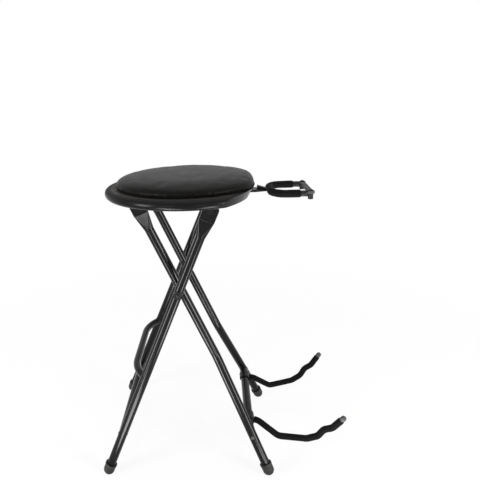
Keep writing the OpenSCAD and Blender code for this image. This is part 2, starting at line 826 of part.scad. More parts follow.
module neck_bar() {
    tip_x = yoke_reach - yoke_rod_d / 2;
    taper_x = yoke_reach - bar_w;
    end_x = stop_x - peg_pin_d;
    // The rib starts where the guide stops it when the bar is pushed in
    rib_x = guide_back + slide_travel + slide_fit;
    rib_end_x = yoke_reach - yoke_foam_d / 2 - soft_fit;
    color(steel_black)
        seat_frame() difference() {
            union() {
                translate([0, 0, bar_low])
                    linear_extrude(bar_t)
                        polygon([[end_x, -bar_w / 2], [taper_x, -bar_w / 2], [tip_x, -bar_tip_w / 2],
                                 [yoke_reach, -bar_tip_w / 2], [yoke_reach, bar_tip_w / 2],
                                 [tip_x, bar_tip_w / 2], [taper_x, bar_w / 2], [end_x, bar_w / 2]]);
                translate([0, bar_tip_w / 2 - blend_in, 0])
                    rotate([90, 0, 0])
                        linear_extrude(bar_tip_w - 2 * blend_in)
                            polygon([[rib_x, -bar_drop], [rib_x, bar_high + bar_rib_h],
                                     [rib_end_x, bar_high + bar_rib_tip_h], [rib_end_x, -bar_drop]]);
            }
            translate([yoke_reach, 0, -bar_drop])
                across(-bar_w, 2 * bar_w, yoke_rod_d + 2 * seat_fit);
            translate([stop_x, 0, bar_low - over])
                cylinder(h = bar_t + 2 * over, d = peg_pin_d / 2 + 2 * seat_fit);
        }
}

// The rivet that stops the bar at the guide
module neck_stop() {
    color(bright_steel)
        seat_frame() translate([stop_x, 0, 0]) {
            translate([0, 0, bar_low - guide_t]) cylinder(h = guide_t, d = peg_pin_d);
            translate([0, 0, bar_low - guide_t]) cylinder(h = bar_t + guide_t, d = peg_pin_d / 2);
        }
}

yoke_end = yoke_reach + yoke_l;

// The peg's sleeve ends just in front of the strap's eye
sleeve_end = yoke_end - strap_eye_d / 2 - slide_fit;
sleeve_start = sleeve_end - peg_sleeve_l;
rod_end = sleeve_end - (peg_sleeve_d - yoke_rod_d) / 2;

// The yoke's path with its arms ending at x
function yoke_path(x) =
    [[x, -yoke_half_w], [yoke_reach, -yoke_half_w], [yoke_reach, yoke_half_w], [x, yoke_half_w]];

module yoke_rod() {
    color(steel_black)
        seat_frame() translate([0, 0, -bar_drop])
            bent_rod(yoke_path(rod_end - seat_fit), yoke_rod_d, yoke_bend_r);
}

module yoke_foam() {
    color(rubber_black)
        seat_frame() difference() {
            translate([0, 0, -bar_drop])
                bent_rod(yoke_path(sleeve_start - soft_fit), yoke_foam_d, yoke_bend_r);
            translate([0, 0, -bar_drop])
                bent_rod(yoke_path(yoke_end), yoke_rod_d + 2 * soft_fit, yoke_bend_r);
            translate([yoke_reach - bar_w, -bar_tip_w / 2 - soft_fit * 8, bar_low - soft_fit])
                cube([bar_w, bar_tip_w + soft_fit * 16, bar_t + 2 * soft_fit]);
        }
}

// The strap lies level with the rod, on the peg's thick part
strap_low = -bar_drop;
peg_top = strap_low - slide_fit;

// A moulded end piece: a sleeve on the rod, and a peg below it with the strap's pin
module yoke_peg(side) {
    pin_top = strap_low + strap_t + slide_fit;
    web_low = -bar_drop - peg_sleeve_d / 2;
    color(plastic_black)
        on_side(side) seat_frame() translate([0, yoke_half_w, 0]) {
            difference() {
                translate([sleeve_start, 0, -bar_drop])
                    rotate([0, 90, 0])
                        cylinder(h = peg_sleeve_l, d = peg_sleeve_d);
                translate([sleeve_start - over, 0, -bar_drop])
                    rotate([0, 90, 0])
                        cylinder(h = rod_end - sleeve_start + over, d = yoke_rod_d + 2 * seat_fit);
            }
            translate([rod_end + seat_fit, -peg_pin_d / 2, web_low + blend_in])
                cube([yoke_end - rod_end - seat_fit, peg_pin_d, peg_top - web_low - 2 * blend_in]);
            translate([yoke_end, 0, -bar_drop - peg_below])
                cylinder(h = peg_top + bar_drop + peg_below, d = peg_d);
            translate([yoke_end, 0, peg_top - blend_in])
                cylinder(h = pin_top - peg_top + 2 * blend_in, d = peg_pin_d);
            translate([yoke_end, 0, pin_top]) peg_knob();
        }
}

// A low round knob, cut flat below
module peg_knob() {
    knob_r = (peg_knob_h * peg_knob_h + peg_knob_d * peg_knob_d / 4) / (2 * peg_knob_h);
    intersection() {
        translate([0, 0, peg_knob_h - knob_r]) sphere(r = knob_r);
        cylinder(h = peg_knob_h, d = peg_knob_d);
    }
}

// The strap turns on the right-hand peg and hooks on the left-hand one
module retaining_strap() {
    color(rubber_black)
        seat_frame() translate([yoke_end, 0, strap_low])
            linear_extrude(strap_t)
                difference() {
                    union() {
                        for (y = [-yoke_half_w, yoke_half_w]) translate([0, y]) circle(d = strap_eye_d);
                        translate([-strap_w / 2, -yoke_half_w]) square([strap_w, 2 * yoke_half_w]);
                    }
                    translate([0, yoke_half_w]) circle(d = peg_pin_d + 2 * running_fit);
                    translate([0, -yoke_half_w]) circle(d = peg_pin_d + 2 * slide_fit);
                    translate([-strap_eye_d, -yoke_half_w - peg_pin_d / 2 - slide_fit])
                        square([strap_eye_d, peg_pin_d + 2 * slide_fit]);
                }
}

// Body cradle

// Middle of the collar's notch, at the collar's inner end
function notch_y() = cradle_half_w - collar_l / 2 + notch_w / 2;

// The frame of a cradle arm: the crossbar's axis at the collar
module cradle_frame(side) {
    on_side(side) on_floor() translate([cradle_x, cradle_half_w, cradle_z]) children();
}

module cradle_stop(side) {
    color(steel_black)
        on_side(side) on_floor() translate([cradle_x, notch_y(), cradle_z])
            mirror([0, 0, 1])
                cylinder(h = collar_r, d = stop_pin_d);
}

module cradle_collar(side) {
    // The notch runs from the stop pin round by the arm's swing
    pin_angle = asin((stop_pin_d / 2 + slide_fit) / tube_r);
    notch_angle = cradle_swing + 2 * pin_angle;
    color(steel_black)
        cradle_frame(side) difference() {
            across(-collar_l / 2, collar_l, collar_d);
            across(-collar_l / 2 - over, collar_l + 2 * over, tube_d + 2 * slide_fit);
            translate([0, -collar_l / 2 - over, 0])
                rotate([-90, 0, 0])
                    rotate([0, 0, 90 - pin_angle])
                        rotate_extrude(angle = notch_angle)
                            square([collar_d, notch_w + over]);
        }
}

// The arm's upright plane turned outward by its spread, with X along it
module cradle_plane() {
    rotate([0, 0, cradle_spread]) rotate([90, 0, 0]) children();
}

module cradle_rod(side) {
    color(steel_black)
        cradle_frame(side) difference() {
            cradle_plane() bent_rod(shortened(cradle_path, tip_d / 2), cradle_rod_d, cradle_bend_r);
            across(-collar_l, 2 * collar_l, collar_d + 2 * seat_fit);
        }
}

module cradle_foam(side) {
    color(rubber_black)
        cradle_frame(side) difference() {
            cradle_plane() bent_rod(shortened(cradle_path, tip_l), cradle_foam_d, cradle_bend_r);
            cradle_plane() bent_rod(cradle_path, cradle_rod_d + 2 * soft_fit, cradle_bend_r);
            across(-collar_l, 2 * collar_l, collar_d + 4 * slide_fit);
        }
}

module cradle_tip(side) {
    last = len(cradle_path) - 1;
    centre = along(cradle_path[last], cradle_path[last - 1], tip_d / 2);
    sleeve_l = tip_l - tip_d / 2 - soft_fit;
    color(plastic_black)
        cradle_frame(side) cradle_plane()
            translate([centre[0], centre[1], 0])
                rotate([0, 90, heading(cradle_path[last], cradle_path[last - 1])])
                    difference() {
                        union() {
                            sphere(d = tip_d);
                            cylinder(h = sleeve_l, d = tip_d);
                        }
                        cylinder(h = tip_l, d = cradle_rod_d + 2 * seat_fit);
                    }
}

front_leg(LEFT);  // front_leg_left
front_leg(RIGHT);  // front_leg_right
front_crossbar();
footrest();
front_foot(LEFT);  // front_foot_left
front_foot(RIGHT);  // front_foot_right
pivot_rivet(LEFT);  // pivot_rivet_left
pivot_rivet(RIGHT);  // pivot_rivet_right
pivot_spacer(LEFT);  // pivot_spacer_left
pivot_spacer(RIGHT);  // pivot_spacer_right
seat_pin(LEFT);  // seat_pin_left
seat_pin(RIGHT);  // seat_pin_right
rear_leg(LEFT);  // rear_leg_left
rear_leg(RIGHT);  // rear_leg_right
rear_crossbar();
rest_rod();
rear_foot(LEFT);  // rear_foot_left
rear_foot(RIGHT);  // rear_foot_right
small_rivet(LEFT);  // small_rivet_left
small_rivet(RIGHT);  // small_rivet_right
cradle_stop(LEFT);  // cradle_stop_left
cradle_stop(RIGHT);  // cradle_stop_right
seat_cushion();
seat_board();
seat_rim();
hinge_bracket(LEFT);  // hinge_bracket_left
hinge_bracket(RIGHT);  // hinge_bracket_right
rest_hook(LEFT);  // rest_hook_left
rest_hook(RIGHT);  // rest_hook_right
guide_pad();
neck_guide();
lock_knob();
neck_bar();
neck_stop();
yoke_rod();
yoke_foam();
yoke_peg(LEFT);  // yoke_peg_left
yoke_peg(RIGHT);  // yoke_peg_right
retaining_strap();
cradle_collar(LEFT);  // cradle_collar_left
cradle_collar(RIGHT);  // cradle_collar_right
cradle_rod(LEFT);  // cradle_rod_left
cradle_rod(RIGHT);  // cradle_rod_right
cradle_foam(LEFT);  // cradle_foam_left
cradle_foam(RIGHT);  // cradle_foam_right
cradle_tip(LEFT);  // cradle_tip_left
cradle_tip(RIGHT);  // cradle_tip_right
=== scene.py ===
"""Looks of a folding stool with a neck holder and a body cradle.

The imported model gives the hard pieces. This script dresses them in their real
materials, and adds the padded cushion, the foam sleeves, the footrest's long
bends, the weld beads, the lines left by the press, the screws under the seat
and the studio round them.
"""

import logging
import math
from dataclasses import dataclass, fields
from enum import Enum
from typing import Any, Dict, List, Optional, Sequence, Tuple, Union

import bmesh
import bpy
from mathutils import Matrix, Vector, noise

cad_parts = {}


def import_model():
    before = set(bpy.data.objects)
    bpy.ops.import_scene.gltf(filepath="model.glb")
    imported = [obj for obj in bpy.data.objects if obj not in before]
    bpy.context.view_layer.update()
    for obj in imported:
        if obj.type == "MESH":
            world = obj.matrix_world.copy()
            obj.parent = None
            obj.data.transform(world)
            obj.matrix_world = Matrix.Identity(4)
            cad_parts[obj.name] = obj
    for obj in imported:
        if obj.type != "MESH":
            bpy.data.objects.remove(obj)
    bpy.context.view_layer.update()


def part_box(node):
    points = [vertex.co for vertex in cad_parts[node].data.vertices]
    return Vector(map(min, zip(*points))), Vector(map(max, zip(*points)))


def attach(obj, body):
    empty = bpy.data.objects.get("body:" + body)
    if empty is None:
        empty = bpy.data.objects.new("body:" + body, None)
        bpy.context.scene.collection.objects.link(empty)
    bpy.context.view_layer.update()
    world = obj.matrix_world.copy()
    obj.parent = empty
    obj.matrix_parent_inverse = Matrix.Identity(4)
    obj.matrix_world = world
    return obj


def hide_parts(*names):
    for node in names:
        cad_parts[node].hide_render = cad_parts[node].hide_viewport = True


LOG = logging.getLogger("stool")
MM = 0.001
JOIN_MM = 0.02
NOISE_RANGE = (0.35, 0.65)

Material = bpy.types.Material
Piece = bpy.types.Object
Shape = bmesh.types.BMesh
Socket = bpy.types.NodeSocket
Tree = bpy.types.NodeTree
Setting = Union[float, Tuple[float, ...], Socket]
Pair = Tuple[float, float]
Triple = Tuple[float, float, float]


class Side(Enum):
    """The two sides of the stool, with the sign of their Y."""

    LEFT = -1
    RIGHT = 1

    def of(self, name: str) -> str:
        """Returns the name of a piece on this side."""
        return f"{name}_{self.name.lower()}"


class Body(Enum):
    """The bodies that the pieces ride on."""

    FRONT = "front_frame"
    REAR = "rear_frame"
    SEAT = "seat"
    HOLDER = "neck_holder"
    STRAP = "strap"
    CRADLE_LEFT = "cradle_left"
    CRADLE_RIGHT = "cradle_right"


class End(Enum):
    """The two leg frames, each named after where its feet stand."""

    FRONT = "front"
    REAR = "rear"

    @property
    def body(self) -> Body:
        """The body that the frame's pieces ride on."""
        return Body[self.name]


def linear(hex_colour: str) -> Tuple[float, float, float, float]:
    """Turns an sRGB hex colour to linear light.

    Args:
        hex_colour: The colour as "#rrggbb".

    Returns:
        Red, green, blue and an alpha of one.
    """
    parts = [int(hex_colour[i : i + 2], 16) / 255 for i in (1, 3, 5)]
    red, green, blue = (
        p / 12.92 if p <= 0.04045 else ((p + 0.055) / 1.055) ** 2.4 for p in parts
    )
    return red, green, blue, 1.0


def empty_tree(owner: Union[Material, bpy.types.World]) -> Tree:
    """Returns the node tree of a material or a world, emptied."""
    owner.use_nodes = True
    owner.node_tree.nodes.clear()
    return owner.node_tree


def add_node(
    tree: Tree,
    kind: str,
    inputs: Optional[Dict[Union[str, int], Setting]] = None,
    **settings: Any,
) -> bpy.types.Node:
    """Adds one node to a tree.

    Args:
        tree: The tree that gets the node.
        kind: The node's type, without its "ShaderNode".
        inputs: A value or a linked output for each named or numbered socket.
        **settings: The node's own settings.

    Returns:
        The new node.
    """
    node = tree.nodes.new(f"ShaderNode{kind}")
    for name, value in settings.items():
        setattr(node, name, value)
    for socket, value in (inputs or {}).items():
        if isinstance(value, Socket):
            tree.links.new(value, node.inputs[socket])
        else:
            node.inputs[socket].default_value = value
    return node


def combine(tree: Tree, operation: str, *values: Setting) -> Socket:
    """Returns what one arithmetic operation makes of the values."""
    node = add_node(tree, "Math", dict(enumerate(values)), operation=operation)
    return node.outputs[0]


def ramp(
    tree: Tree,
    value: Socket,
    start: Pair,
    to: Pair = (0.0, 1.0),
    shape: str = "LINEAR",
) -> Socket:
    """Maps one range of values to another.

    Args:
        tree: The tree that gets the node.
        value: The value to map.
        start: The two ends of its own range.
        to: The two ends of the new range.
        shape: How the value goes from one end to the other.

    Returns:
        The mapped value, which stays in the new range.
    """
    ends = zip(("From Min", "From Max", "To Min", "To Max"), (*start, *to))
    inputs = {"Value": value, **dict(ends)}
    node = add_node(tree, "MapRange", inputs, interpolation_type=shape)
    return node.outputs["Result"]


def per_metre(size_mm: float) -> float:
    """Returns the texture scale at which one cell is size_mm across."""
    return 1000 / size_mm


@dataclass(frozen=True)
class Finish:
    """A plain finish, which the real ones build on.

    Attributes:
        name: The material's name, after what the real one is.
        colour: Its colour as sRGB hex.
        worn: The colour where it is rubbed, dusty or lighter.
        roughness: Mean roughness.
        spread: How far the roughness goes to each side of its mean.
        specular: Specular level, where 0.5 keeps the IOR's own reflection.
        metallic: One for bare metal.
        sheen: Weight of the faint nap of a soft skin.
        sheen_roughness: Roughness of that nap.
        blotch_mm: Width of the blotches of the worn colour.
        gloss_mm: Width of the patches of rougher and smoother surface.
        bite: Strength of the relief.
    """

    name: str
    colour: str
    worn: str
    roughness: float
    spread: float = 0.05
    specular: float = 0.5
    metallic: float = 0.0
    sheen: float = 0.0
    sheen_roughness: float = 0.5
    blotch_mm: float = 40.0
    gloss_mm: float = 22.0
    bite: float = 0.5

    def build(self) -> Material:
        """Makes the material.

        Returns:
            The finished material.
        """
        material = bpy.data.materials.new(self.name)
        tree = empty_tree(material)
        place = add_node(tree, "TexCoord").outputs["Object"]
        inputs = {
            "Base Color": self.tint(tree, place),
            "Roughness": self.gloss(tree, place),
            "Metallic": self.metallic,
            "Specular IOR Level": self.specular,
            "Sheen Weight": self.sheen,
            "Sheen Roughness": self.sheen_roughness,
        }
        relief = self.relief(tree, place)
        if relief is not None:
            inputs["Normal"] = relief
        shader = add_node(tree, "BsdfPrincipled", inputs)
        add_node(tree, "OutputMaterial", {"Surface": shader.outputs["BSDF"]})
        return material

    def blotch(
        self, tree: Tree, place: Socket, size_mm: float, detail: float
    ) -> Socket:
        """Returns a soft noise with blotches of size_mm."""
        cloud = add_node(
            tree,
            "TexNoise",
            {"Vector": place, "Scale": per_metre(size_mm), "Detail": detail},
        )
        return cloud.outputs["Fac"]

    def span(self, tree: Tree, value: Socket, low: float, high: float) -> Socket:
        """Returns a noise's value, spread from low to high."""
        return ramp(tree, value, NOISE_RANGE, (low, high))

    def mix(self, tree: Tree, share: Setting) -> Socket:
        """Returns the colour with a share of the worn one."""
        blend = add_node(
            tree,
            "Mix",
            {0: share, 6: linear(self.colour), 7: linear(self.worn)},
            data_type="RGBA",
        )
        return blend.outputs[2]

    def tint(self, tree: Tree, place: Socket) -> Socket:
        """Draws the base colour, with soft blotches of the worn colour.

        Args:
            tree: The material's tree.
            place: The point on the object.

        Returns:
            The colour.
        """
        cloud = self.blotch(tree, place, self.blotch_mm, 3)
        return self.mix(tree, self.span(tree, cloud, 0.0, 0.5))

    def gloss(self, tree: Tree, place: Socket) -> Socket:
        """Returns the roughness, which changes a little over the surface."""
        cloud = self.blotch(tree, place, self.gloss_mm, 4)
        return self.span(
            tree, cloud, self.roughness - self.spread, self.roughness + self.spread
        )

    def relief(self, tree: Tree, place: Socket) -> Optional[Socket]:
        """Draws the fine relief of the surface.

        Args:
            tree: The material's tree.
            place: The point on the object.

        Returns:
            The bumped normal, or nothing for a smooth finish.
        """
        return None

    def bump(self, tree: Tree, height: Socket, depth_mm: float) -> Socket:
        """Returns the normal of a relief that is depth_mm deep."""
        node = add_node(
            tree,
            "Bump",
            {"Height": height, "Distance": depth_mm * MM, "Strength": self.bite},
        )
        return node.outputs["Normal"]


@dataclass(frozen=True)
class PowderCoat(Finish):
    """Sprayed and baked powder coat: satin, with a faint orange peel.

    Attributes:
        peel_mm: Width of the orange peel's cells.
        peel_depth_mm: Depth of those cells.
        haze_mm: Width of the clouds of dust.
        scuff_mm: Width of the marks of handling.
    """

    peel_mm: float = 2.0
    peel_depth_mm: float = 0.02
    haze_mm: float = 55.0
    scuff_mm: float = 4.0

    def relief(self, tree: Tree, place: Socket) -> Socket:
        """Returns the orange peel, real at 0.8 mm and drawn at 2 mm to show."""
        peel = self.blotch(tree, place, self.peel_mm, 1)
        return self.bump(tree, peel, self.peel_depth_mm)

    def tint(self, tree: Tree, place: Socket) -> Socket:
        """Returns the colour with a light haze of dust and handling."""
        haze = self.blotch(tree, place, self.haze_mm, 5)
        scuff = self.blotch(tree, place, self.scuff_mm, 6)
        dusty = self.span(tree, haze, 0, 0.7)
        handled = self.span(tree, scuff, 0.2, 0.8)
        return self.mix(tree, combine(tree, "MULTIPLY", dusty, handled))


@dataclass(frozen=True)
class Vinyl(Finish):
    """PVC leathercloth: pebbled grain with a soft sheen.

    Attributes:
        pebble_mm: Width of one pebble of the grain.
        pebble_depth_mm: Depth of the creases between pebbles.
        crease: Share of a pebble over which it falls into its crease.
        sat_mm: Width of the patches where it was sat on.
    """

    bite: float = 0.55
    pebble_mm: float = 2.2
    pebble_depth_mm: float = 0.12
    crease: float = 0.22
    sat_mm: float = 90.0

    def cells(self, tree: Tree, place: Socket) -> Socket:
        """Draws the pebbles of the grain.

        Args:
            tree: The material's tree.
            place: The point on the object.

        Returns:
            The height of the pebbles, nought in the creases.
        """
        wander = add_node(
            tree,
            "TexNoise",
            {"Vector": place, "Scale": per_metre(self.pebble_mm * 3), "Detail": 2.0},
        )
        nudge = add_node(
            tree,
            "VectorMath",
            {0: wander.outputs["Color"], "Scale": self.pebble_mm * MM},
            operation="SCALE",
        )
        moved = add_node(
            tree, "VectorMath", {0: place, 1: nudge.outputs[0]}, operation="ADD"
        )
        pebble = add_node(
            tree,
            "TexVoronoi",
            {"Vector": moved.outputs[0], "Scale": per_metre(self.pebble_mm)},
            feature="DISTANCE_TO_EDGE",
        )
        height = pebble.outputs["Distance"]
        return ramp(tree, height, (0.0, self.crease), shape="SMOOTHSTEP")

    def relief(self, tree: Tree, place: Socket) -> Socket:
        """Returns the grain, real at 1.2 mm and drawn at 2.2 mm to show."""
        return self.bump(tree, self.cells(tree, place), self.pebble_depth_mm)

    def tint(self, tree: Tree, place: Socket) -> Socket:
        """Returns the colour: darker in the creases as painted shade, paler where it
        was sat on.
        """
        cloud = self.blotch(tree, place, self.sat_mm, 2)
        pale = self.span(tree, cloud, 0.4, 0.8)
        # The pebbles' height keeps the creases at the darker colour, as painted shade
        # in the grain.
        return self.mix(tree, combine(tree, "MULTIPLY", pale, self.cells(tree, place)))


@dataclass(frozen=True)
class ClosedCellFoam(Finish):
    """Extruded rubber foam: dead matt, with a skin of fine pores.

    Attributes:
        pore_mm: Width of one pore.
        pore_depth_mm: Depth of a pore.
        dent_mm: Width of the soft dents in the skin.
    """

    bite: float = 0.6
    pore_mm: float = 1.4
    pore_depth_mm: float = 0.25
    dent_mm: float = 7.0

    def relief(self, tree: Tree, place: Socket) -> Socket:
        """Returns the pores, real at 0.5 mm and drawn at 1.4 mm to show."""
        inputs = {"Vector": place, "Scale": per_metre(self.pore_mm)}
        pore = add_node(tree, "TexVoronoi", inputs).outputs["Distance"]
        cloud = self.blotch(tree, place, self.dent_mm, 3)
        both = combine(tree, "ADD", pore, cloud)
        return self.bump(tree, both, self.pore_depth_mm)


@dataclass(frozen=True)
class MouldedPlastic(Finish):
    """Injection-moulded plastic with a spark-eroded surface.

    Attributes:
        grit_mm: Width of the spark texture's grit.
        grit_depth_mm: Depth of that grit.
    """

    grit_mm: float = 1.1
    grit_depth_mm: float = 0.05

    def relief(self, tree: Tree, place: Socket) -> Socket:
        """Returns the grit, real at 0.3 mm and drawn coarser to show."""
        grit = self.blotch(tree, place, self.grit_mm, 2)
        return self.bump(tree, grit, self.grit_depth_mm)


@dataclass(frozen=True)
class RimPlastic(MouldedPlastic):
    """The seat's rim: textured on its ledge and polished round its nose.

    Attributes:
        ledge_roughness: Roughness of what faces up.
        turn: Upward part of the normal where the nose ends and where the
            ledge begins.
    """

    ledge_roughness: float = 0.6
    turn: Pair = (0.2, 0.8)

    def gloss(self, tree: Tree, place: Socket) -> Socket:
        """Returns the roughness, higher where the rim faces up."""
        facing = add_node(tree, "TexCoord").outputs["Normal"]
        upright = add_node(tree, "SeparateXYZ", {"Vector": facing}).outputs["Z"]
        return ramp(tree, upright, self.turn, (self.roughness, self.ledge_roughness))


@dataclass(frozen=True)
class RibbedRubber(Finish):
    """Moulded rubber with shallow rings round its axis.

    Attributes:
        axis: Unit vector of the axis that the rings go round.
        ring_mm: Distance from ring to ring.
        ring_depth_mm: Depth of the rings.
        ring_share: Share of the rings in the relief, beside the grain.
        grain_mm: Width of the dull grain.
    """

    bite: float = 0.6
    axis: Triple = (0.0, 0.0, 1.0)
    ring_mm: float = 4.0
    ring_depth_mm: float = 0.3
    ring_share: float = 0.25
    grain_mm: float = 1.2

    def relief(self, tree: Tree, place: Socket) -> Socket:
        """Returns the rings with the dull grain of moulded rubber."""
        height = add_node(
            tree, "VectorMath", {0: place, 1: self.axis}, operation="DOT_PRODUCT"
        )
        pace = 2 * math.pi * per_metre(self.ring_mm)
        turns = combine(tree, "MULTIPLY", height.outputs["Value"], pace)
        ring = combine(tree, "SINE", turns)
        grain = self.blotch(tree, place, self.grain_mm, 2)
        both = combine(tree, "MULTIPLY_ADD", ring, self.ring_share, grain)
        return self.bump(tree, both, self.ring_depth_mm)


@dataclass(frozen=True)
class StainedBoard(Finish):
    """Plywood sealed with a black stain, so that its grain still shows.

    Attributes:
        grain_mm: Width of the grain's streaks.
        grain_depth_mm: Depth of the grain.
        drawn: Width of a streak against its length.
    """

    bite: float = 0.6
    grain_mm: float = 5.0
    grain_depth_mm: float = 0.12
    drawn: float = 0.08

    def streaks(self, tree: Tree, place: Socket) -> Socket:
        """Returns long streaks along X."""
        along = add_node(
            tree, "Mapping", {"Vector": place, "Scale": (self.drawn, 1.0, 1.0)}
        )
        return self.blotch(tree, along.outputs[0], self.grain_mm, 5)

    def tint(self, tree: Tree, place: Socket) -> Socket:
        """Returns the stain, thinner along the grain."""
        return self.mix(tree, self.span(tree, self.streaks(tree, place), 0, 1))

    def relief(self, tree: Tree, place: Socket) -> Socket:
        """Returns the raised grain."""
        return self.bump(tree, self.streaks(tree, place), self.grain_depth_mm)


@dataclass(frozen=True)
class ZincPlate(Finish):
    """Bright zinc on steel, brushed by its drum.

    Attributes:
        scratch_mm: Width of the drum's scratches.
        scratch_depth_mm: Depth of those scratches.
    """

    bite: float = 0.4
    scratch_mm: float = 0.8
    scratch_depth_mm: float = 0.03

    def relief(self, tree: Tree, place: Socket) -> Socket:
        """Returns the drum's fine scratches, drawn at 0.8 mm to show."""
        scratch = self.blotch(tree, place, self.scratch_mm, 4)
        return self.bump(tree, scratch, self.scratch_depth_mm)


@dataclass(frozen=True)
class Palette:
    """Every finish of the stool."""

    steel: PowderCoat = PowderCoat(
        "steel_satin_powder_coat", "#060606", "#0c0c0b", 0.18, 0.02, 0.16
    )
    pressed: PowderCoat = PowderCoat(
        "pressed_steel_black_enamel", "#0b0b0b", "#171615", 0.34, 0.04, 0.12
    )
    vinyl: Vinyl = Vinyl(
        "pvc_leathercloth_black", "#090908", "#0f0e0d", 0.4, 0.03, 0.04, sheen=0.015
    )
    rim: RimPlastic = RimPlastic(
        "polypropylene_moulded_black", "#070707", "#0b0b0b", 0.24, 0.03, 0.085
    )
    peg: MouldedPlastic = MouldedPlastic(
        "nylon_moulded_black", "#101010", "#1d1d1d", 0.46, 0.05, 0.14
    )
    cap: MouldedPlastic = MouldedPlastic(
        "vinyl_dip_cap_grey", "#333333", "#434343", 0.55, 0.06, 0.2
    )
    foam: ClosedCellFoam = ClosedCellFoam(
        "nitrile_foam_black",
        "#070707",
        "#0d0d0c",
        0.88,
        0.05,
        0.04,
        sheen=0.02,
        sheen_roughness=0.6,
    )
    strap: RibbedRubber = RibbedRubber(
        "rubber_strap_moulded", "#2b2b2b", "#3a3939", 0.6, 0.06, 0.2
    )
    board: StainedBoard = StainedBoard(
        "plywood_black_stain", "#0f0e0d", "#241f1a", 0.62, 0.08, 0.2
    )
    rivet: ZincPlate = ZincPlate(
        "zinc_rivet_dulled", "#4a4946", "#33312f", 0.36, 0.08, 0.5, 1.0
    )
    zinc: ZincPlate = ZincPlate(
        "zinc_plated_steel", "#8d8c88", "#6a6966", 0.3, 0.08, 0.5, 1.0
    )

    def build(self) -> Dict[str, Material]:
        """Makes every finish's material, each under its field's name."""
        return {own.name: getattr(self, own.name).build() for own in fields(self)}


def middle(node: str) -> Vector:
    """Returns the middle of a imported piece's box."""
    low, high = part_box(node)
    return (low + high) / 2


def dress(node: str, material: Material) -> None:
    """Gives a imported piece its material."""
    mesh = bpy.data.objects[node].data
    mesh.materials.clear()
    mesh.materials.append(material)


def own_mesh(node: str) -> Shape:
    """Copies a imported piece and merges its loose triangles.

    Args:
        node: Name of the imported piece.

    Returns:
        A bmesh whose neighbouring faces share their corners.
    """
    shape = bmesh.new()
    shape.from_mesh(bpy.data.objects[node].data)
    bmesh.ops.remove_doubles(shape, verts=shape.verts, dist=JOIN_MM * MM)
    return shape


def settle(name: str, shape: Shape, material: Material) -> Piece:
    """Turns a bmesh into an object at the origin.

    Args:
        name: The piece's name.
        shape: The bmesh, which is freed.
        material: The piece's material.

    Returns:
        The linked object, smooth shaded.
    """
    mesh = bpy.data.meshes.new(name)
    shape.to_mesh(mesh)
    shape.free()
    mesh.materials.append(material)
    mesh.shade_smooth()
    piece = bpy.data.objects.new(name, mesh)
    bpy.context.scene.collection.objects.link(piece)
    return piece


def baked(piece: Piece) -> Piece:
    """Applies every modifier of a piece.

    Args:
        piece: The piece, which gets a new mesh.

    Returns:
        The same piece.
    """
    graph = bpy.context.evaluated_depsgraph_get()
    mesh = bpy.data.meshes.new_from_object(piece.evaluated_get(graph))
    piece.modifiers.clear()
    old = piece.data
    piece.data = mesh
    bpy.data.meshes.remove(old)
    return piece


def remeshed(piece: Piece, voxel_mm: float) -> Piece:
    """Gives a piece an even skin.

    Args:
        piece: The piece.
        voxel_mm: Width of the faces of the new skin.

    Returns:
        The same piece.
    """
    skin = piece.modifiers.new("skin", "REMESH")
    skin.mode = "VOXEL"
    skin.voxel_size = voxel_mm * MM
    skin.use_smooth_shade = True
    return baked(piece)


def smoothed(piece: Piece, passes: int) -> Piece:
    """Evens out a piece's skin.

    Args:
        piece: The piece.
        passes: Number of times that each point goes half-way to the middle
            of its neighbours.

    Returns:
        The same piece.
    """
    even = piece.modifiers.new("even", "SMOOTH")
    even.factor = 0.5
    even.iterations = passes
    return baked(piece)


def swept(
    points: Sequence[Vector],
    radii: Sequence[float],
    sides: int,
    closed: bool = True,
) -> Shape:
    """Sweeps a circle along a line of points.

    Args:
        points: The points of the line.
        radii: The circle's radius at each point.
        sides: Number of sides of the circle.
        closed: True for a ring, False for a bar with two flat ends.

    Returns:
        A closed skin.
    """
    shape = bmesh.new()
    count = len(points)
    rings: List[List[bmesh.types.BMEdge]] = []
    for i, point in enumerate(points):
        if closed:
            ahead = points[(i + 1) % count] - points[i - 1]
        else:
            ahead = points[min(i + 1, count - 1)] - points[max(i - 1, 0)]
        turn = ahead.to_track_quat("Z", "Y").to_matrix().to_4x4()
        made = bmesh.ops.create_circle(
            shape,
            segments=sides,
            radius=radii[i],
            matrix=Matrix.Translation(point) @ turn,
        )
        corners = set(made["verts"])
        rings.append([e for e in shape.edges if set(e.verts) <= corners])
    for i in range(count if closed else count - 1):
        bmesh.ops.bridge_loops(shape, edges=rings[i] + rings[(i + 1) % count])
    if not closed:
        for ring in (rings[0], rings[-1]):
            bmesh.ops.contextual_create(shape, geom=ring)
    bmesh.ops.recalc_face_normals(shape, faces=shape.faces)
    return shape


@dataclass
class Tube:
    """A round bar: a point on its axis, its direction and its radius."""

    point: Vector
    way: Vector
    radius: float

    def reach(self, start: Vector, way: Vector) -> float:
        """Finds how far a line runs before it meets this tube.

        Args:
            start: Where the line starts.
            way: The line's direction, of length one.

        Returns:
            The distance to the tube, or to its nearest approach.
        """
        axis = self.way.normalized()
        gap = start - self.point
        side = way - way.dot(axis) * axis
        off = gap - gap.dot(axis) * axis
        square = side.dot(side)
        near = side.dot(off) / square
        root = near * near - (off.dot(off) - self.radius**2) / square
        return -near - math.sqrt(max(root, 0.0))


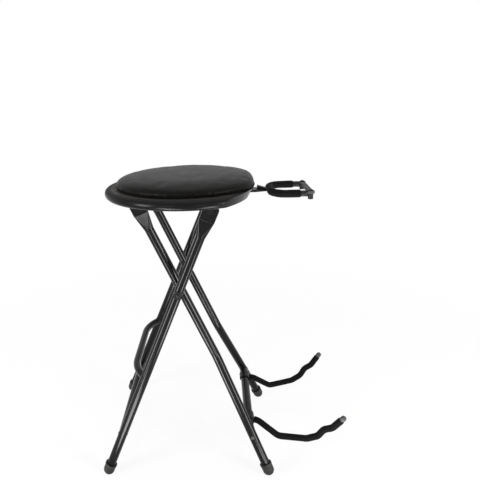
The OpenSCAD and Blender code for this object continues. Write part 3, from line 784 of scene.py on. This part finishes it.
@dataclass
class WeldBead:
    """A fillet weld round the end of a bar that meets a tube.

    Attributes:
        size_mm: Radius of the bead.
        ripple_mm: Height of its ripples.
        ripples: Number of ripples round the bar.
        points: Number of points round the bar.
        sides: Number of sides of the bead's section.
    """

    size_mm: float = 0.9
    ripple_mm: float = 0.25
    ripples: int = 20
    points: int = 80
    sides: int = 10

    def build(self, name: str, bar: Tube, tube: Tube, material: Material) -> Piece:
        """Lays the bead where the bar meets the tube.

        Args:
            name: The piece's name.
            bar: The bar, with its direction towards the tube.
            tube: The tube that it meets.
            material: The bead's material.

        Returns:
            The bead.
        """
        way = bar.way.normalized()
        first = way.orthogonal().normalized()
        second = way.cross(first)
        line, radii = [], []
        for i in range(self.points):
            angle = 2 * math.pi * i / self.points
            out = math.cos(angle) * first + math.sin(angle) * second
            start = bar.point + out * bar.radius
            line.append(start + way * tube.reach(start, way))
            ripple = self.ripple_mm * abs(math.sin(self.ripples * angle / 2))
            radii.append((self.size_mm + ripple) * MM)
        return settle(name, swept(line, radii, self.sides), material)


@dataclass
class LegFrames:
    """The two crossed leg frames.

    Attributes:
        tube_mm: Diameter of the leg tubes.
        cross_half_mm: Half spacing of the front legs at the crossing.
        knee_mm: Where the right rear leg bends.
        footrest_mm: Diameter of the footrest rod.
        footrest_run_mm: Half the length of its straight run.
        footrest_steps: Number of steps in each of its bends.
        footrest_sides: Number of sides of the rod.
        tab_mm: Width of a leg's flattened top.
        tab_t_mm: Thickness of that flat.
        tab_below_mm: How far the flat reaches below its pin.
        pin_flush_mm: How far a seat pin's head stands proud of the flat.
        press_mm: Width and height of the line that the press leaves there.
        press_short_mm: How far that line ends from the flat's edges.
        front_lean: Lean of the front feet from upright, in degrees.
        rear_lean: Lean of the rear feet from upright, in degrees.
    """

    tube_mm: float = 19.0
    cross_half_mm: float = 110.5
    knee_mm: Triple = (-8.09, 74.0, 245.17)
    footrest_mm: float = 15.5
    footrest_run_mm: float = 62.0
    footrest_steps: int = 20
    footrest_sides: int = 48
    tab_mm: float = 31.0
    tab_t_mm: float = 4.0
    tab_below_mm: float = 20.0
    pin_flush_mm: float = 0.8
    press_mm: Pair = (2.2, 0.9)
    press_short_mm: float = 1.0
    front_lean: float = 22.3
    rear_lean: float = -24.4

    def leg(self, side: Side, end: End) -> Tube:
        """Finds a leg's lower run from its foot and where it crosses or bends.

        Args:
            side: The leg's side.
            end: The frame that it belongs to.

        Returns:
            The leg as a tube.
        """
        foot = middle(side.of(f"{end.value}_foot"))
        if end is End.FRONT:
            top = middle(side.of("pivot_rivet"))
            top.y = side.value * self.cross_half_mm * MM
        else:
            along, across, up = self.knee_mm
            top = Vector((along, side.value * across, up)) * MM
        return Tube(foot, top - foot, self.tube_mm / 2 * MM)

    def build(self, palette: Dict[str, Material]) -> None:
        """Dresses the frames and lays their welds.

        Args:
            palette: The materials by name.
        """
        steel = palette["steel"]
        bead = WeldBead()
        self.footrest(steel)
        for side in Side:
            for end in End:
                bar = Tube(
                    middle(f"{end.value}_crossbar"),
                    Vector((0, side.value, 0)),
                    self.tube_mm / 2 * MM,
                )
                name = side.of(f"weld_{end.value}_crossbar")
                weld = bead.build(name, bar, self.leg(side, end), steel)
                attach(weld, end.body.value)
                LOG.info("%s laid", name)
            self.footrest_weld(side, bead, steel)
            for end in End:
                line = self.press_line(side, end, steel)
                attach(line, end.body.value)
                LOG.info("%s pressed", line.name)
        for node in ("front_crossbar", "rear_crossbar", "rest_rod"):
            dress(node, steel)
        for side in Side:
            for node in ("front_leg", "rear_leg"):
                dress(side.of(node), steel)
            for node in ("pivot_rivet", "pivot_spacer", "seat_pin", "cradle_stop"):
                dress(side.of(node), palette["pressed"])
            dress(side.of("small_rivet"), palette["rivet"])
            for end in End:
                dress(side.of(f"{end.value}_foot"), self.rubber(side, end).build())

    def rubber(self, side: Side, end: End) -> RibbedRubber:
        """Returns a foot's finish, whose rings go round the foot's own axis."""
        lean = math.radians(self.front_lean if end is End.FRONT else self.rear_lean)
        return RibbedRubber(
            side.of(f"rubber_{end.value}_foot"),
            "#151514",
            "#262524",
            0.62,
            0.06,
            0.3,
            axis=(math.sin(lean), 0.0, math.cos(lean)),
        )

    def press_line(self, side: Side, end: End, material: Material) -> Piece:
        """Raises the line where a leg's round tube is pressed flat.

        Args:
            side: The leg's side.
            end: The leg's frame: a front leg's flat turns on a seat pin, and
                a rear leg's holds the rest rod.
            material: The line's material.

        Returns:
            The line, across the outer face of the flat.
        """
        pivot = middle(side.of("pivot_rivet"))
        if end is End.FRONT:
            pin = middle(side.of("seat_pin"))
            low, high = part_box(side.of("seat_pin"))
            reach = max(abs(low.y), abs(high.y)) - self.pin_flush_mm * MM
        else:
            pin = middle("rest_rod")
            low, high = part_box(side.of("pivot_spacer"))
            inner = min(abs(low.y), abs(high.y)) - self.tube_mm / 2 * MM
            reach = inner + self.tab_t_mm / 2 * MM
        up = Vector((pin.x - pivot.x, 0, pin.z - pivot.z)).normalized()
        across = Vector((up.z, 0, -up.x))
        place = Vector((pin.x, 0, pin.z)) - up * self.tab_below_mm * MM
        place.y = side.value * reach
        width, height = self.press_mm
        half = Vector((self.tab_mm / 2 - self.press_short_mm, height, width / 2)) * MM
        shape = bmesh.new()
        bmesh.ops.create_uvsphere(shape, u_segments=28, v_segments=14, radius=1.0)
        turn = Matrix((across, Vector((0, 1, 0)), up)).transposed().to_4x4()
        size = Matrix.Diagonal((*half, 1.0))
        bmesh.ops.transform(shape, matrix=turn @ size, verts=shape.verts)
        bmesh.ops.translate(shape, vec=place, verts=shape.verts)
        bmesh.ops.recalc_face_normals(shape, faces=shape.faces)
        return settle(side.of(f"press_line_{end.value}"), shape, material)

    def footrest_bend(self) -> Tuple[Vector, float, float]:
        """Finds the long round bend at the footrest's right end.

        Returns:
            Where the bend starts, its radius and its angle.
        """
        start = middle("footrest")
        start.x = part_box("footrest")[0].x + self.footrest_mm / 2 * MM
        start.y = self.footrest_run_mm * MM
        leg = self.leg(Side.RIGHT, End.FRONT)
        meet = leg.point + leg.way * ((start.z - leg.point.z) / leg.way.z)
        deep, wide = meet.x - start.x, meet.y - start.y
        radius = (deep**2 + wide**2) / (2 * deep)
        return start, radius, math.asin(wide / radius)

    def footrest(self, material: Material) -> None:
        """Bends the footrest rod, in one long round at each end.

        Args:
            material: The powder-coated steel.
        """
        start, radius, angle = self.footrest_bend()
        half = []
        for step in range(self.footrest_steps + 1):
            turn = angle * step / self.footrest_steps
            way = Vector((1 - math.cos(turn), math.sin(turn), 0))
            half.append(start + radius * way)
        line = [Vector((p.x, -p.y, p.z)) for p in reversed(half)] + half
        radii = [self.footrest_mm / 2 * MM] * len(line)
        rod = swept(line, radii, self.footrest_sides, closed=False)
        piece = settle("footrest_rod", rod, material)
        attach(piece, Body.FRONT.value)
        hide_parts("footrest")
        LOG.info("footrest bent")

    def footrest_weld(self, side: Side, bead: WeldBead, material: Material) -> None:
        """Lays the weld where the footrest meets a front leg.

        Args:
            side: The leg's side.
            bead: The kind of bead.
            material: The bead's material.
        """
        start, radius, angle = self.footrest_bend()
        angle -= self.tube_mm / 2 * MM / radius
        at = start + radius * Vector((1 - math.cos(angle), math.sin(angle), 0))
        at.y *= side.value
        way = Vector((math.sin(angle), side.value * math.cos(angle), 0))
        bar = Tube(at - way * self.tube_mm * MM, way, self.footrest_mm / 2 * MM)
        name = side.of("weld_footrest")
        weld = bead.build(name, bar, self.leg(side, End.FRONT), material)
        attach(weld, Body.FRONT.value)
        LOG.info("%s laid", name)


@dataclass
class Screws:
    """The screws that hold the brackets, the hooks and the guide to the board.

    Attributes:
        head_mm: Diameter of a screw's head.
        dome: Height of the head against half its diameter.
        bracket_mm: Half spacing of the screws in a hinge bracket.
        hook_mm: Half spacing of the screws in a rest hook.
        flange_in_mm: How far they sit from a flange's inner edge.
        flange_t_mm: Thickness of those flanges.
        guide_end_mm: How far the guide's screws sit from its ends.
        guide_side_mm: How far they sit from its sides.
        guide_t_mm: Thickness of the guide's flanges.
    """

    head_mm: float = 7.2
    dome: float = 0.55
    bracket_mm: float = 15.0
    hook_mm: float = 13.0
    flange_in_mm: float = 8.0
    flange_t_mm: float = 3.0
    guide_end_mm: float = 12.0
    guide_side_mm: float = 6.0
    guide_t_mm: float = 2.0

    def head(self) -> Shape:
        """Makes a domed screw head, dome down, with its flat at the origin.

        Returns:
            The head as a bmesh.
        """
        head = bmesh.new()
        bmesh.ops.create_uvsphere(
            head, u_segments=24, v_segments=12, radius=self.head_mm / 2 * MM
        )
        bmesh.ops.bisect_plane(
            head,
            geom=head.verts[:] + head.edges[:] + head.faces[:],
            plane_co=(0, 0, 0),
            plane_no=(0, 0, 1),
            clear_outer=True,
        )
        rim = [e for e in head.edges if e.is_boundary]
        bmesh.ops.contextual_create(head, geom=rim)
        flat = Matrix.Diagonal((1, 1, self.dome, 1))
        bmesh.ops.transform(head, matrix=flat, verts=head.verts)
        return head

    def spots(self) -> List[Tuple[str, Vector]]:
        """Returns each screw's name and place."""
        spots: List[Tuple[str, Vector]] = []
        for side in Side:
            for node, reach in (
                ("hinge_bracket", self.bracket_mm),
                ("rest_hook", self.hook_mm),
            ):
                low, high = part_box(side.of(node))
                y = low.y if side is Side.RIGHT else high.y
                y += side.value * self.flange_in_mm * MM
                z = high.z - self.flange_t_mm * MM
                for end, shift in (("front", -reach), ("back", reach)):
                    x = (low.x + high.x) / 2 + shift * MM
                    name = side.of(f"screw_{node}_{end}")
                    spots.append((name, Vector((x, y, z))))
            low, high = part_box("neck_guide")
            y = side.value * (high.y - self.guide_side_mm * MM)
            z = high.z - self.guide_t_mm * MM
            inset = self.guide_end_mm * MM
            for end, x in (("front", low.x + inset), ("back", high.x - inset)):
                name = side.of(f"screw_guide_{end}")
                spots.append((name, Vector((x, y, z))))
        return spots

    def build(self, material: Material) -> None:
        """Puts the screws in the flanges under the board.

        Args:
            material: The plated steel.
        """
        spots = self.spots()
        for name, spot in spots:
            shape = self.head()
            bmesh.ops.translate(shape, vec=spot, verts=shape.verts)
            piece = settle(name, shape, material)
            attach(piece, Body.SEAT.value)
        LOG.info("%d screws set", len(spots))


@dataclass
class Seat:
    """The cushion, its moulded rim, the board and what is screwed under it.

    Attributes:
        voxel_mm: Size of the cushion's faces before it swells.
        swell_mm: The furthest that a point of the cushion may move.
        pressure: Pressure inside the cushion as it swells.
        drawn_in_mm: How much narrower the cushion starts on each side.
        drawn_down_mm: How much lower its top starts.
        hem_mm: Height of the hem that stays tacked to the board.
        mass: Mass of a point of the cover, in kilograms.
        stretch: Stiffness of the cover against stretching.
        give: Its stiffness against shearing and bending.
        quality: Number of the solver's steps in a frame.
        frames: Number of frames that the cover takes to settle.
        passes: Number of times that the settled cover is smoothed.
    """

    voxel_mm: float = 5.0
    swell_mm: float = 1.6
    pressure: float = 4.0
    drawn_in_mm: float = 0.8
    drawn_down_mm: float = 0.6
    hem_mm: float = 6.0
    mass: float = 0.4
    stretch: float = 40.0
    give: float = 20.0
    quality: int = 6
    frames: int = 20
    passes: int = 4

    def cushion(self, material: Material) -> Piece:
        """Makes the stuffed cushion from its packed form.

        Args:
            material: The vinyl.

        Returns:
            The cushion.
        """
        low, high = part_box("seat_cushion")
        shape = own_mesh("seat_cushion")
        around = Matrix.Translation((middle("seat_cushion").x, 0, low.z))
        narrow = 1 - self.drawn_in_mm * MM / (high.x - low.x) * 2
        lower = 1 - self.drawn_down_mm * MM / (high.z - low.z)
        scale = Matrix.Diagonal((narrow, narrow, lower, 1))
        bmesh.ops.transform(
            shape, matrix=around @ scale @ around.inverted(), verts=shape.verts
        )
        piece = remeshed(settle("cushion_cover", shape, material), self.voxel_mm)
        self.swell(piece, low.z)
        for corner in piece.data.vertices:
            corner.co.z = max(corner.co.z, low.z)
        piece.data.shade_smooth()
        smooth = piece.modifiers.new("smooth", "SUBSURF")
        smooth.levels = smooth.render_levels = 1
        return piece

    def swell(self, piece: Piece, floor: float) -> None:
        """Fills the cushion with air and keeps how its cover settles.

        Args:
            piece: The cushion, with an even skin.
            floor: Height of the board under it.
        """
        rest = [v.co.copy() for v in piece.data.vertices]
        held = piece.vertex_groups.new(name="held")
        hem = floor + self.hem_mm * MM
        low = [v.index for v in piece.data.vertices if v.co.z < hem]
        held.add(low, 1.0, "REPLACE")
        cloth = piece.modifiers.new("cloth", "CLOTH")
        setup = cloth.settings
        setup.quality = self.quality
        setup.mass = self.mass
        setup.tension_stiffness = setup.compression_stiffness = self.stretch
        setup.shear_stiffness = setup.bending_stiffness = self.give
        setup.use_pressure = True
        setup.uniform_pressure_force = self.pressure
        setup.effector_weights.gravity = 0
        setup.vertex_group_mass = "held"
        cloth.collision_settings.use_collision = False
        scene = bpy.context.scene
        for frame in range(1, self.frames + 1):
            scene.frame_set(frame)
        graph = bpy.context.evaluated_depsgraph_get()
        moved = piece.evaluated_get(graph).to_mesh()
        settled = [v.co.copy() for v in moved.vertices]
        piece.modifiers.remove(cloth)
        scene.frame_set(1)
        limit = self.swell_mm * MM
        for corner, start, end in zip(piece.data.vertices, rest, settled):
            step = end - start
            if step.length > limit:
                step *= limit / step.length
            corner.co = start + step
        smoothed(piece, self.passes)

    def build(self, palette: Dict[str, Material]) -> None:
        """Dresses the seat and makes its cushion and screws.

        Args:
            palette: The materials by name.
        """
        cushion = self.cushion(palette["vinyl"])
        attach(cushion, Body.SEAT.value)
        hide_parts("seat_cushion")
        LOG.info("cushion stuffed")
        Screws().build(palette["zinc"])
        dress("seat_board", palette["board"])
        dress("seat_rim", palette["rim"])
        dress("guide_pad", palette["peg"])
        dress("lock_knob", palette["peg"])
        dress("neck_guide", palette["pressed"])
        for side in Side:
            dress(side.of("hinge_bracket"), palette["pressed"])
            dress(side.of("rest_hook"), palette["pressed"])


@dataclass
class FoamSleeve:
    """A foam sleeve pushed over a rod.

    Attributes:
        voxel_mm: Size of the sleeve's faces.
        lump_mm: Height of the soft lumps that the rod's bends give it.
        lump_l_mm: Length of those lumps.
        passes: Number of times that the skin is smoothed.
    """

    voxel_mm: float = 1.2
    lump_mm: float = 0.25
    lump_l_mm: float = 14.0
    passes: int = 4

    def build(self, name: str, node: str, body: Body, material: Material) -> Piece:
        """Makes one sleeve from its packed form.

        Args:
            name: The piece's name.
            node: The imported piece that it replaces.
            body: The body that it rides on.
            material: The foam.

        Returns:
            The sleeve.
        """
        piece = remeshed(settle(name, own_mesh(node), material), self.voxel_mm)
        mesh = smoothed(piece, self.passes).data
        normals = [v.normal.copy() for v in mesh.vertices]
        for corner, normal in zip(mesh.vertices, normals):
            lump = noise.noise(corner.co / (self.lump_l_mm * MM))
            corner.co += normal * lump * self.lump_mm * MM
        mesh.shade_smooth()
        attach(piece, body.value)
        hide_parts(node)
        LOG.info("%s made", name)
        return piece


@dataclass
class NeckHolder:
    """The sliding bar, the yoke and the strap across its mouth."""

    def build(self, palette: Dict[str, Material]) -> None:
        """Dresses the holder and makes its sleeve.

        Args:
            palette: The materials by name.
        """
        sleeve = FoamSleeve()
        sleeve.build("yoke_sleeve", "yoke_foam", Body.HOLDER, palette["foam"])
        dress("neck_bar", palette["pressed"])
        dress("yoke_rod", palette["steel"])
        dress("neck_stop", palette["zinc"])
        dress("retaining_strap", palette["strap"])
        for side in Side:
            dress(side.of("yoke_peg"), palette["peg"])


@dataclass
class Cradle:
    """The two padded arms that carry what leans in the stool."""

    def build(self, palette: Dict[str, Material]) -> None:
        """Dresses the arms and makes their sleeves.

        Args:
            palette: The materials by name.
        """
        sleeve = FoamSleeve()
        for side in Side:
            name, node = side.of("cradle_sleeve"), side.of("cradle_foam")
            sleeve.build(name, node, Body(side.of("cradle")), palette["foam"])
            dress(side.of("cradle_collar"), palette["pressed"])
            dress(side.of("cradle_rod"), palette["steel"])
            dress(side.of("cradle_tip"), palette["cap"])


@dataclass(frozen=True)
class Lamp:
    """A softbox that looks at the middle of the stool, or lies on the floor.

    Attributes:
        name: The lamp's name.
        place: Where it stands or hangs, in metres.
        size: Its width and height, in metres.
        power: Its power in watts.
        turn: For a strip that lies on the floor and shines up, the angle of
            its length from -Y, in degrees.
        target: What it looks at, in metres.
    """

    name: str
    place: Triple
    size: Pair
    power: float
    turn: Optional[float] = None
    target: Triple = (0.0, 0.0, 0.35)

    def build(self) -> None:
        """Sets up the lamp, unseen by the camera."""
        data = bpy.data.lights.new(self.name, "AREA")
        data.shape = "RECTANGLE"
        data.size, data.size_y = self.size
        data.energy = self.power
        lamp = bpy.data.objects.new(self.name, data)
        bpy.context.scene.collection.objects.link(lamp)
        lamp.location = self.place
        lamp.visible_camera = False
        if self.turn is None:
            aim = Vector(self.target) - Vector(self.place)
            lamp.rotation_euler = aim.to_track_quat("-Z", "Y").to_euler()
        else:
            lamp.rotation_euler = (math.pi, 0, math.radians(self.turn))


@dataclass
class Studio:
    """The pale floor, the soft lamps and the camera.

    Attributes:
        eye: The camera's place.
        pitch: How far it looks down.
        yaw: How far it turns from +Y towards -X.
        roll: How far it leans.
        focal_px: Focal length in pixels of the picture.
        centre_px: The picture's column that the camera looks through.
        picture_px: Width of the picture.
        sensor_mm: Width of the camera's sensor.
        ambient: Light from all round.
        floor_m: Radius of the floor.
        floor_mm: How far it lies below the feet.
        fade_m: Where it starts and ends its fade to white.
        near_white: Share of white near the stool.
        lamps: The lamps: one above, two upright strips, two fills and two
            strips on the floor.
    """

    eye: Triple = (-0.0006, -0.9642, 0.7889)
    pitch: float = 0.3013
    yaw: float = -0.1124
    roll: float = -0.0468
    focal_px: float = 468.13
    centre_px: float = 168.6
    picture_px: float = 480.0
    sensor_mm: float = 36.0
    ambient: float = 0.3
    floor_m: float = 9.0
    floor_mm: float = 0.3
    fade_m: Pair = (0.45, 1.4)
    near_white: float = 0.88
    lamps: Tuple[Lamp, ...] = (
        Lamp("softbox_above", (0.1, 0.3, 2.3), (1.8, 1.8), 20),
        Lamp("strip_left", (-1.75, -1.2, 0.65), (0.6, 1.3), 50),
        Lamp("strip_right", (1.75, -1.2, 0.65), (0.6, 1.3), 50),
        Lamp("fill_left", (-0.97, -2.55, 0.97), (0.5, 0.35), 7),
        Lamp("fill_right", (0.88, -2.6, 0.97), (0.5, 0.35), 7),
        Lamp("low_left", (-0.42, -0.66, 0.01), (0.2, 0.9), 12, turn=-36),
        Lamp("low_right", (0.42, -0.66, 0.01), (0.2, 0.9), 12, turn=36),
    )

    def camera(self) -> None:
        """Makes the camera that sees what the photograph sees."""
        data = bpy.data.cameras.new("camera")
        data.sensor_width = self.sensor_mm
        data.lens = self.focal_px / self.picture_px * self.sensor_mm
        data.shift_x = 0.5 - self.centre_px / self.picture_px
        ahead = Vector(
            (
                math.sin(self.yaw) * math.cos(self.pitch),
                math.cos(self.yaw) * math.cos(self.pitch),
                -math.sin(self.pitch),
            )
        )
        level = Vector((math.cos(self.yaw), -math.sin(self.yaw), 0))
        upright = level.cross(ahead)
        right = math.cos(self.roll) * level + math.sin(self.roll) * upright
        up = -math.sin(self.roll) * level + math.cos(self.roll) * upright
        camera = bpy.data.objects.new("camera", data)
        bpy.context.scene.collection.objects.link(camera)
        turn = Matrix((right, up, -ahead)).transposed().to_4x4()
        camera.matrix_world = Matrix.Translation(self.eye) @ turn
        bpy.context.scene.camera = camera

    def shown(self, tree: Tree) -> Socket:
        """Returns one where a ray shows the background to the eye."""
        rays = add_node(tree, "LightPath").outputs
        both = combine(tree, "MAXIMUM", rays["Is Camera Ray"], rays["Is Glossy Ray"])
        return combine(tree, "MAXIMUM", both, rays["Is Transmission Ray"])

    def floor(self) -> None:
        """Lays the pale floor, which fades to white away from the stool."""
        shape = bmesh.new()
        bmesh.ops.create_circle(shape, cap_ends=True, segments=96, radius=self.floor_m)
        down = Vector((0, 0, -self.floor_mm)) * MM
        bmesh.ops.translate(shape, vec=down, verts=shape.verts)
        material = bpy.data.materials.new("studio_paper_white")
        tree = empty_tree(material)
        place = add_node(tree, "TexCoord").outputs["Object"]
        far = add_node(tree, "VectorMath", {0: place}, operation="LENGTH")
        white = (self.near_white, 1.0)
        fade = ramp(tree, far.outputs["Value"], self.fade_m, white, "SMOOTHSTEP")
        share = combine(tree, "MULTIPLY", fade, self.shown(tree))
        inputs = {"Base Color": linear("#f2f2f0"), "Roughness": 0.9}
        paper = add_node(tree, "BsdfPrincipled", inputs).outputs[0]
        inputs = {"Color": (1, 1, 1, 1), "Strength": 1.0}
        glow = add_node(tree, "Emission", inputs).outputs[0]
        both = add_node(tree, "MixShader", {0: share, 1: paper, 2: glow})
        add_node(tree, "OutputMaterial", {"Surface": both.outputs[0]})
        settle("floor", shape, material)

    def world(self) -> None:
        """Makes the room: white where it is seen, softer where it lights."""
        world = bpy.data.worlds.new("studio")
        bpy.context.scene.world = world
        tree = empty_tree(world)
        light, white = (
            add_node(tree, "Background", {"Color": (1, 1, 1, 1), "Strength": power})
            for power in (self.ambient, 1.0)
        )
        inputs = {0: self.shown(tree), 1: light.outputs[0], 2: white.outputs[0]}
        both = add_node(tree, "MixShader", inputs)
        add_node(tree, "OutputWorld", {"Surface": both.outputs[0]})

    def build(self) -> None:
        """Sets up the whole studio."""
        self.camera()
        self.floor()
        self.world()
        for lamp in self.lamps:
            lamp.build()
        bpy.context.scene.view_settings.view_transform = "Standard"
        LOG.info("studio ready")


def main() -> None:
    """Loads the frame, dresses it and adds the soft and small pieces."""
    logging.basicConfig(level=logging.INFO, format="%(message)s")
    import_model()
    palette = Palette().build()
    LegFrames().build(palette)
    Seat().build(palette)
    NeckHolder().build(palette)
    Cradle().build(palette)
    Studio().build()


if __name__ == "__main__":
    main()
